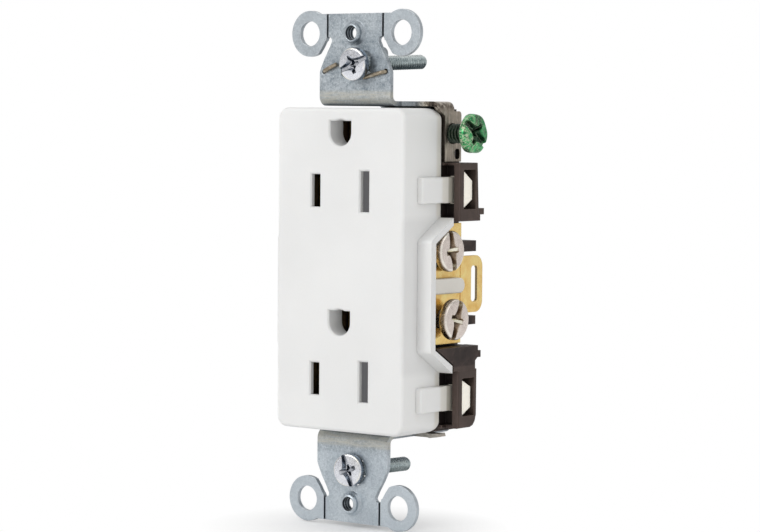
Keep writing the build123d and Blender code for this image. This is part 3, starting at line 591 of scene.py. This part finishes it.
def green_steel():
    m = Material("green_steel")
    col = m.mottle({0.30: (12, 56, 36), 0.42: (26, 112, 64), 0.54: (50, 168, 96),
                    0.66: (96, 204, 132), 0.78: (32, 124, 74)},
                   scale=0.42, detail=5, rough=0.65, distort=1.4)

    # flecks of bare metal, most of them at lower Y
    fleck = m.mottle({0.48: 0.0, 0.58: 1.0}, scale=1.5, detail=6, rough=0.75, distort=1.0)
    side = m.step(m.axis(Y), off=11.0, on=6.5)
    spread = m.plus(m.times(side, 0.75), 0.16)
    col = m.mix(col, (214, 222, 190), by=fleck, amount=spread)

    # painted shade in the drive recess
    y = m.minus(m.axis(Y), GROUND_Y)
    z = m.minus(m.axis(Z), GROUND_Z)
    depth = m.minus(GROUND_TOP_X, m.axis(X))
    well = m.times(m.step(square_sum(m, y, z), off=12.5, on=11.0),
                   m.step(depth, off=0.25, on=0.6))
    col = m.mix(col, (8, 38, 26), by=well, amount=0.85)

    tan = m.mottle({0.60: 0.0, 0.70: 0.55}, scale=1.9, detail=5, rough=0.65, distort=0.6,
                   shift=(5.0, 2.0, 9.0))
    col = m.mix(col, (150, 132, 92), by=tan)
    # painted shade in crevices, from ambient occlusion
    col = m.mix(col, (6, 30, 20), by=m.crevices({0.30: 0.95, 0.85: 0.0}, reach=1.5))

    # painted highlight along the edges, most towards -Y and -Z
    edge = m.times(m.edge(radius=0.2, gain=4.0), 0.9)
    low = m.math("MAXIMUM", m.step(m.plus(y, z), off=0.5, on=-1.5), 0.35)
    col = m.mix(col, (222, 236, 206), by=edge, amount=low)
    shank = m.step(m.axis(X), off=21.45, on=21.1)
    col = m.mix(col, (26, 34, 26), by=shank, amount=0.72)

    m.set(Base_Color=col, Metallic=0.75, Coat_Weight=0.35, Coat_Roughness=0.12)
    m.roughness(low=0.2, high=0.42, scale=2.0, rough=0.6)
    height = m.mix(m.noise(scale=0.9), m.noise(scale=4.5, rough=0.6), by=0.5)
    m.bump(height, strength=0.45, depth=0.09, bevel=0.14)
    return m.m


def clip_wire():
    m = Material("clip_wire")
    col = m.mottle({0.3: (120, 108, 92), 0.55: (172, 160, 140), 0.75: (214, 206, 190)},
                   scale=1.4, detail=5, rough=0.6, distort=0.5)
    m.set(Base_Color=col, Metallic=0.95)
    m.roughness(low=0.28, high=0.5, scale=3.0, detail=3)
    m.bump(m.noise(scale=4.0, rough=0.6), strength=0.3, depth=0.05)
    return m.m


MATERIALS = {
    "nylon_white": nylon_white(),
    "base_brown": base_brown(),
    "zinc_steel": zinc_steel(),
    "brass": brass("brass", base=(252, 218, 142), dark=(238, 192, 108),
                   smoothest=0.12, roughest=0.26, add_glow=window_glow),
    "nickel_steel": terminal_steel("nickel_steel", base=(236, 224, 216), dark=(74, 60, 48),
                                   side=(186, 170, 146)),
    "brass_screw": terminal_steel("brass_screw", base=(240, 208, 140), dark=(84, 58, 26),
                                  side=(190, 150, 86)),
    "zinc_screw": zinc_screw(),
    "green_steel": green_steel(),
    "contact_brass": brass("contact_brass", base=(196, 158, 96), dark=(150, 112, 60),
                           smoothest=0.25, roughest=0.45, add_glow=slot_glow),
    "wire": clip_wire(),
}

SLOT_OF = {part["node"]: part["material_slot"] for part in frame["record"]["subparts"]}
for node, piece in frame["nodes"].items():
    piece.data.materials.clear()
    piece.data.materials.append(MATERIALS.get(SLOT_OF[node], MATERIALS["zinc_steel"]))


# -------------------------------------------------------------- mesh helpers
def shade_by_angle(bm, smooth_deg):
    """Normals outwards, smooth faces, sharp edges above the angle."""
    bmesh.ops.recalc_face_normals(bm, faces=bm.faces)
    for face in bm.faces:
        face.smooth = True
    limit = math.radians(smooth_deg)
    for edge in bm.edges:
        edge.smooth = len(edge.link_faces) == 2 and edge.calc_face_angle(0.0) < limit


def new_object(name, bm, material, smooth_deg=SMOOTH_DEG):
    shade_by_angle(bm, smooth_deg)
    mesh = bpy.data.meshes.new(name)
    bm.to_mesh(mesh)
    bm.free()
    ob = bpy.data.objects.new(name, mesh)
    scene.collection.objects.link(ob)
    mesh.materials.append(material)
    return ob


def join_rings(bm, a, b):
    """Faces between two rings of vertices, either of which may be a single pole."""
    n = max(len(a), len(b))
    for j in range(n):
        k = (j + 1) % n
        if len(a) == 1:
            bm.faces.new((a[0], b[j], b[k]))
        elif len(b) == 1:
            bm.faces.new((a[j], b[0], a[k]))
        else:
            bm.faces.new((a[j], b[j], b[k], a[k]))


def cut_away(target, cutters):
    """Subtract the cutters for good, then remove them."""
    for cutter in cutters:
        modifier = target.modifiers.new("cut", "BOOLEAN")
        modifier.operation = "DIFFERENCE"
        modifier.solver = "EXACT"
        modifier.object = cutter
        bpy.context.view_layer.update()
        depsgraph = bpy.context.evaluated_depsgraph_get()
        mesh = bpy.data.meshes.new_from_object(target.evaluated_get(depsgraph))
        target.modifiers.clear()
        old = target.data
        target.data = mesh
        bpy.data.meshes.remove(old)
    for cutter in cutters:
        bpy.data.objects.remove(cutter)


def clean_mesh(ob, material):
    """Merge doubles left by the cuts and shade again."""
    bm = bmesh.new()
    bm.from_mesh(ob.data)
    bmesh.ops.remove_doubles(bm, verts=bm.verts, dist=1e-4)
    shade_by_angle(bm, SMOOTH_DEG)
    bm.to_mesh(ob.data)
    bm.free()
    ob.data.materials.clear()
    ob.data.materials.append(material)


# -------------------------------------------------------------------- screws
def thread(z, angle):
    """Radius change of the helical thread: 0 on the crest, -THREAD_DEPTH at the root."""
    turn = (z / PITCH - angle / (2 * math.pi)) % 1.0
    height = 1 - abs(2 * turn - 1)
    flat = 0.12                     # share of the height cut flat at root and at crest
    height = min(1.0, max(0.0, (height - flat) / 0.76))
    return -THREAD_DEPTH * (1 - height)


def head_profile(head_r, head_h, edge_r, dome):
    """(radius, z, threaded) from the top pole down to the underside at z = 0."""
    flat_r = head_r - edge_r
    rings = 7
    rows = [(0.0, head_h + dome, False)]
    for i in range(1, rings + 1):
        r = flat_r * i / rings
        rows.append((r, head_h + dome * (1 - (r / flat_r) ** 2), False))
    start_deg, arc_steps = 80, 6    # rounded edge, down to 0 degrees
    for i in range(arc_steps + 1):
        a = math.radians(start_deg - start_deg * i / arc_steps)
        rows.append((flat_r + edge_r * math.cos(a), head_h - edge_r + edge_r * math.sin(a),
                     False))
    return rows + [(head_r, 0.22, False), (head_r - 0.06, 0.06, False),
                   (head_r - 0.22, 0.0, False), (head_r * 0.7, 0.0, False)]


def shank_profile(shank_r, length, tip, neck):
    """(radius, z, threaded) from the head's underside down to the bottom pole."""
    end = -length
    last = neck[0] if neck else end + tip
    rows = [(shank_r + 0.02, 0.0, False), (shank_r - 0.05, -0.03, False)]
    z = -0.25
    while z > last:
        rows.append((shank_r, z, True))
        z -= PITCH / STEPS_PER_TURN
    if neck:
        top, bottom, neck_r, foot_r = neck
        rows += [(shank_r - 0.35, top - 0.02, False), (neck_r, top - 0.12, False),
                 (neck_r, bottom, False), (foot_r, bottom - 0.05, False),
                 (foot_r, end + 0.12, False), (foot_r - 0.25, end, False)]
    else:
        rows += [(shank_r - 0.2, last - 0.1, False), (shank_r - 0.62, end, False)]
    return rows + [(0.0, end, False)]


def lathe(profile, segments):
    """Closed surface of revolution about Z, with the thread on threaded rows."""
    bm = bmesh.new()
    rows = []
    for r, z, threaded in profile:
        if r < 1e-6:
            rows.append([bm.verts.new((0, 0, z))])
            continue
        row = []
        for j in range(segments):
            a = 2 * math.pi * j / segments
            radius = r + (thread(z, a) if threaded else 0.0)
            row.append(bm.verts.new((radius * math.cos(a), radius * math.sin(a), z)))
        rows.append(row)
    for a, b in zip(rows, rows[1:]):
        join_rings(bm, a, b)
    return bm


def press_head(bm, head_r, wobble):
    """Slightly out-of-round pressed head."""
    for v in bm.verts:
        if v.co.z > 0.02:
            a = math.atan2(v.co.y, v.co.x)
            reach = math.hypot(v.co.x, v.co.y) / head_r
            six = wobble * reach * (0.5 - 0.5 * math.cos(6 * a + 0.6))
            factor = min(1.0, 1.0 - six - 0.4 * wobble * reach * math.sin(3 * a))
            v.co.x *= factor
            v.co.y *= factor


def star(quarter, turn, z_top, z_bottom, shrink, keep=None):
    """Tapered prism on a star-shaped section given by one quarter of its outline.

    shrink scales the bottom; points as far out as keep in x don't taper in x.
    """
    ring = []
    for sx, sy, backwards in ((1, 1, False), (1, -1, True), (-1, -1, False), (-1, 1, True)):
        points = [(sx * x, sy * y) for x, y in quarter]
        ring += points[::-1] if backwards else points
    over = 0.9                      # part of the height that stands clear of the head
    swell = 1.0 + (1.0 - shrink) * over / max(z_top - z_bottom - over, 0.3)
    bm = bmesh.new()
    rows = []
    for z, scale in ((z_bottom, shrink), (z_top, swell)):
        row = []
        for x, y in ring:
            x_scale = 1.0 if keep and abs(x) > keep - 1e-6 else scale
            row.append(bm.verts.new(turn @ Vector((x * x_scale, y * scale, z))))
        rows.append(row)
    bottom, top = rows
    for j in range(len(ring)):
        k = (j + 1) % len(ring)
        bm.faces.new((bottom[j], bottom[k], top[k], top[j]))
    bm.faces.new(bottom[::-1])
    bm.faces.new(top)
    return bm


def screw(name, material, head_r, head_h, edge_r, dome, shank_r, length,
          slot_deg, slot_w, slot_depth, wing, neck=None, tip=0.5, segments=56, wobble=0.0):
    """A combination-drive machine screw along Z, underside of the head at z = 0.

    wing is the half length of the cross; neck is (top z, bottom z, radius, foot radius).
    """
    bm = lathe(head_profile(head_r, head_h, edge_r, dome)
               + shank_profile(shank_r, length, tip, neck), segments)
    if wobble:
        press_head(bm, head_r, wobble)
    ob = new_object(name, bm, material)

    top = head_h + dome
    turn = Matrix.Rotation(math.radians(slot_deg), 4, "Z")
    reach = head_r + 0.6            # the slot runs out past the head
    h = slot_w / 2
    # quarter outlines (x, y): a slot whose flanks swell into the cross, and the cross
    slot = [(0.34 * wing * 0.6, wing), (0.50, wing * 0.62), (0.86, h * 1.32),
            (1.5, h * 1.02), (2.3, h * 0.86), (reach, h * 0.72)]
    cross = [(h * 0.50, wing), (h * 0.72, wing * 0.6), (h * 1.0, h * 1.0),
             (wing * 0.6, h * 0.72), (wing, h * 0.5)]
    slot_bm = star(slot, turn, z_top=top + 0.8, z_bottom=top - slot_depth,
                   shrink=0.62, keep=reach)
    cross_bm = star(cross, turn, z_top=top + 0.9, z_bottom=top - slot_depth * 1.75,
                    shrink=0.34)
    cut_away(ob, [new_object(name + "_slot", slot_bm, material),
                  new_object(name + "_cross", cross_bm, material)])
    clean_mesh(ob, material)
    return ob


def place(ob, origin, axis):
    """Turn local +Z to axis and move to origin (metres); the mesh comes in millimetres."""
    z = Vector(axis).normalized()
    x = Vector((0, 0, 1)).cross(z).normalized()
    y = z.cross(x)
    turn = Matrix((x, y, z)).transposed().to_4x4()
    ob.data.transform(Matrix.Translation(Vector(origin)) @ turn @ Matrix.Scale(MM, 4))
    ob.data.update()


BODY_OF = {node: body for body, nodes in frame["record"]["behaviour"]["bodies"].items()
           for node in nodes}
JOINT_OF = {joint["child"]: joint for joint in frame["joints"]}


def stand_in(ob, node):
    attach(ob, BODY_OF[node])
    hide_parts(node)


# (side, direction along X, material, position, turn of the drive slot in degrees)
TERMINAL_SCREWS = [
    ("neutral", 1, "nickel_steel", "upper", 101),
    ("neutral", 1, "nickel_steel", "lower", 71),
    ("hot", -1, "brass_screw", "upper", 38),
    ("hot", -1, "brass_screw", "lower", 154),
]
TERMINAL_HEAD = 1.8                 # top of the head to its underside in the CAD box, mm
GROUND_HEAD = 1.9


def terminal_screws():
    for side, sx, slot, position, deg in TERMINAL_SCREWS:
        node = f"{side}_screw_{position}"
        lo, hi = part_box(node)
        ob = screw(f"{side}_terminal_screw_{position}", MATERIALS[slot],
                   head_r=4.2, head_h=1.66, edge_r=0.62, dome=0.12,
                   shank_r=2.05, length=4.88, slot_deg=deg, slot_w=1.78, slot_depth=1.0,
                   wing=2.15, neck=(-3.15, -4.43, 1.48, 1.92))
        under = (hi.x if sx > 0 else lo.x) - sx * TERMINAL_HEAD * MM
        place(ob, (under, (lo.y + hi.y) / 2, (lo.z + hi.z) / 2), (sx, 0, 0))
        stand_in(ob, node)


def ground_screw():
    lo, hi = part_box("ground_screw")
    ob = screw("ground_terminal_screw", MATERIALS["green_steel"],
               head_r=4.15, head_h=1.66, edge_r=0.75, dome=0.2,
               shank_r=2.03, length=6.4, slot_deg=-36, slot_w=2.1, slot_depth=1.2,
               wing=2.6, wobble=0.05)
    under = hi.x - GROUND_HEAD * MM
    place(ob, (under, (lo.y + hi.y) / 2, (lo.z + hi.z) / 2), (1, 0, 0))
    stand_in(ob, "ground_screw")


def mounting_screws():
    for position, deg in (("top", 23), ("bottom", 110)):
        node = f"mounting_screw_{position}"
        joint = JOINT_OF[BODY_OF[node]]
        ob = screw(f"device_screw_{position}", MATERIALS["zinc_screw"],
                   head_r=3.40, head_h=1.6, edge_r=0.42, dome=0.12,
                   shank_r=1.52, length=22.8, slot_deg=deg, slot_w=1.4, slot_depth=0.9,
                   wing=2.0, tip=0.6, segments=44)
        place(ob, joint["pos_m"], -Vector(joint["axis"]))
        stand_in(ob, node)


terminal_screws()
ground_screw()
mounting_screws()


# ------------------------------------------------------------- the wire clip
def round_corners(path, passes):
    for _ in range(passes):
        cut = [path[0]]
        for a, b in zip(path, path[1:]):
            cut += [a.lerp(b, 0.25), a.lerp(b, 0.75)]
        path = cut + [path[-1]]
    return path


def tube(name, points, radius, material, segments=14):
    """Round wire along a smoothed path, ends pinched where they were clinched."""
    path = round_corners([Vector(p) for p in points], passes=3)
    bm = bmesh.new()
    rows = []
    last = len(path) - 1
    for i, p in enumerate(path):
        along = (path[min(i + 1, last)] - path[max(i - 1, 0)]).normalized()
        u = along.cross(Vector((0, 0, 1)))
        u.normalize()
        v = u.cross(along).normalized()
        from_end = min(i, last - i)
        pinch = 0.55 + 0.2 * from_end if from_end < 2 else 1.0
        row = []
        for j in range(segments):
            a = 2 * math.pi * j / segments
            row.append(bm.verts.new(p + (u * math.cos(a) * radius * pinch
                                         + v * math.sin(a) * radius * (0.8 + 0.2 * pinch))))
        rows.append(row)
    for a, b in zip(rows, rows[1:]):
        join_rings(bm, a, b)
    bm.faces.new(rows[0][::-1])
    bm.faces.new(rows[-1])
    return new_object(name, bm, material, smooth_deg=50)


def wire_clip():
    lo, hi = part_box("ground_staple")
    inset = 0.44                    # wire axis inside the CAD box
    front = lo.y / MM + inset
    back = hi.y / MM - inset
    # (x, y, z) along the wire, mm
    path = [
        (-4.4, front, 42.1), (-5.5, front, 41.65), (-7.95, front, 40.62),
        (-8.0, back, 40.55), (-5.5, back, 40.0), (-3.4, back, 39.5), (0.5, back, 39.4),
        (4.4, back, 39.5), (6.2, back, 40.0), (8.0, back, 40.55),
        (7.95, front, 40.5), (5.5, front, 39.95), (2.6, front, 39.3),
    ]
    wire = tube("ground_wire_clip", path, radius=0.42, material=MATERIALS["wire"])
    wire.data.transform(Matrix.Scale(MM, 4))
    stand_in(wire, "ground_staple")


wire_clip()


# --------------------------------------------------------------------- stage
def pale_floor():
    """Pale sweep: matt near the object, running out to white."""
    m = Material("pale_floor")
    m.set(Base_Color=m.mottle({0.3: 0.86, 0.7: 0.89}, scale=0.02, detail=3), Roughness=0.7)
    white = m.node("Emission", {0: (1, 1, 1, 1), 1: 1.0})
    distance = m.node("VectorMath", {0: m.mapped(stretch=(1, 1, 0))}, operation="LENGTH")
    far = m.step(distance.outputs["Value"], off=1.0, on=32.0)
    seen = m.times(far, m.node("LightPath").outputs["Is Camera Ray"])
    shader = m.node("MixShader", {0: seen, 1: m.shader.outputs[0], 2: white.outputs[0]})
    m.feed(m.out.inputs[0], shader.outputs[0])
    return m.m


def build_floor():
    half, gap = 6.0, 0.0002         # half side and drop below the CAD, metres
    z = CAD_LO.z - gap
    bm = bmesh.new()
    corners = ((-half, -half, z), (half, -half, z), (half, half, z), (-half, half, z))
    bm.faces.new([bm.verts.new(p) for p in corners])
    new_object("floor", bm, pale_floor())


def build_world():
    """White to the camera; a soft grey studio with darker bands for the metal to pick up."""
    world = bpy.data.worlds.new("studio")
    scene.world = world
    world.use_nodes = True
    g = Graph(world.node_tree, "Generated")
    rays = g.node("LightPath").outputs
    bands = g.mottle({0.40: (0.36, 0.35, 0.34, 1), 0.56: 1.18},
                     scale=1.5, detail=2.0, rough=0.5, stretch=(1.9, 1.9, 0.8))
    tone = g.mix(1.0, bands, by=rays["Is Glossy Ray"])
    # brighter overhead, which lights the upper sides of the screws
    strength = g.step(g.axis(Z), off=0.25, on=0.7, low=0.64, high=0.84)
    studio = g.node("Background", {0: tone, 1: strength})
    backdrop = g.node("Background", {0: (1.0, 1.0, 1.0, 1), 1: 1.0})
    shader = g.node("MixShader", {0: rays["Is Camera Ray"], 1: studio.outputs[0],
                                  2: backdrop.outputs[0]})
    g.node("OutputWorld", {0: shader.outputs[0]})


def area_light(name, location, size, power):
    """A white disk light aimed at the origin."""
    light = bpy.data.lights.new(name, "AREA")
    light.shape = "DISK"
    light.size = size
    light.energy = power
    light.color = (1, 1, 1)
    ob = bpy.data.objects.new(name, light)
    scene.collection.objects.link(ob)
    ob.location = location
    ob.rotation_mode = "QUATERNION"
    ob.rotation_quaternion = (-Vector(location)).to_track_quat("-Z", "Y")


def build_camera():
    """Camera on an orbit about the origin, then slid sideways and up in its own plane."""
    azimuth, elevation, roll = map(math.radians, (37.6495, 3.2035, 0.43318))
    distance, slide_right, slide_up = 0.55304, 0.0048558, 0.00063838    # metres
    data = bpy.data.cameras.new("camera")
    camera = bpy.data.objects.new("camera", data)
    scene.collection.objects.link(camera)
    back = Vector((math.sin(azimuth) * math.cos(elevation),
                   -math.cos(azimuth) * math.cos(elevation), math.sin(elevation)))
    level = (-back).cross(Vector((0, 0, 1))).normalized()
    upright = level.cross(-back)
    right = level * math.cos(roll) + upright * math.sin(roll)
    up = upright * math.cos(roll) - level * math.sin(roll)
    camera.location = back * distance + right * slide_right + up * slide_up
    camera.rotation_mode = "QUATERNION"
    camera.rotation_quaternion = Matrix((right, up, back)).transposed().to_quaternion()
    data.sensor_width = 36.0
    data.lens = 127.24342105
    data.clip_start = 0.01
    data.clip_end = 50.0
    scene.camera = camera


build_floor()
build_world()
area_light("key", location=(-0.35, -0.85, 0.50), size=0.5, power=3.4)
area_light("fill", location=(0.95, 0.10, 0.45), size=0.5, power=0.55)
build_camera()
scene.view_settings.view_transform = "Standard"
scene.view_settings.exposure = 0.0
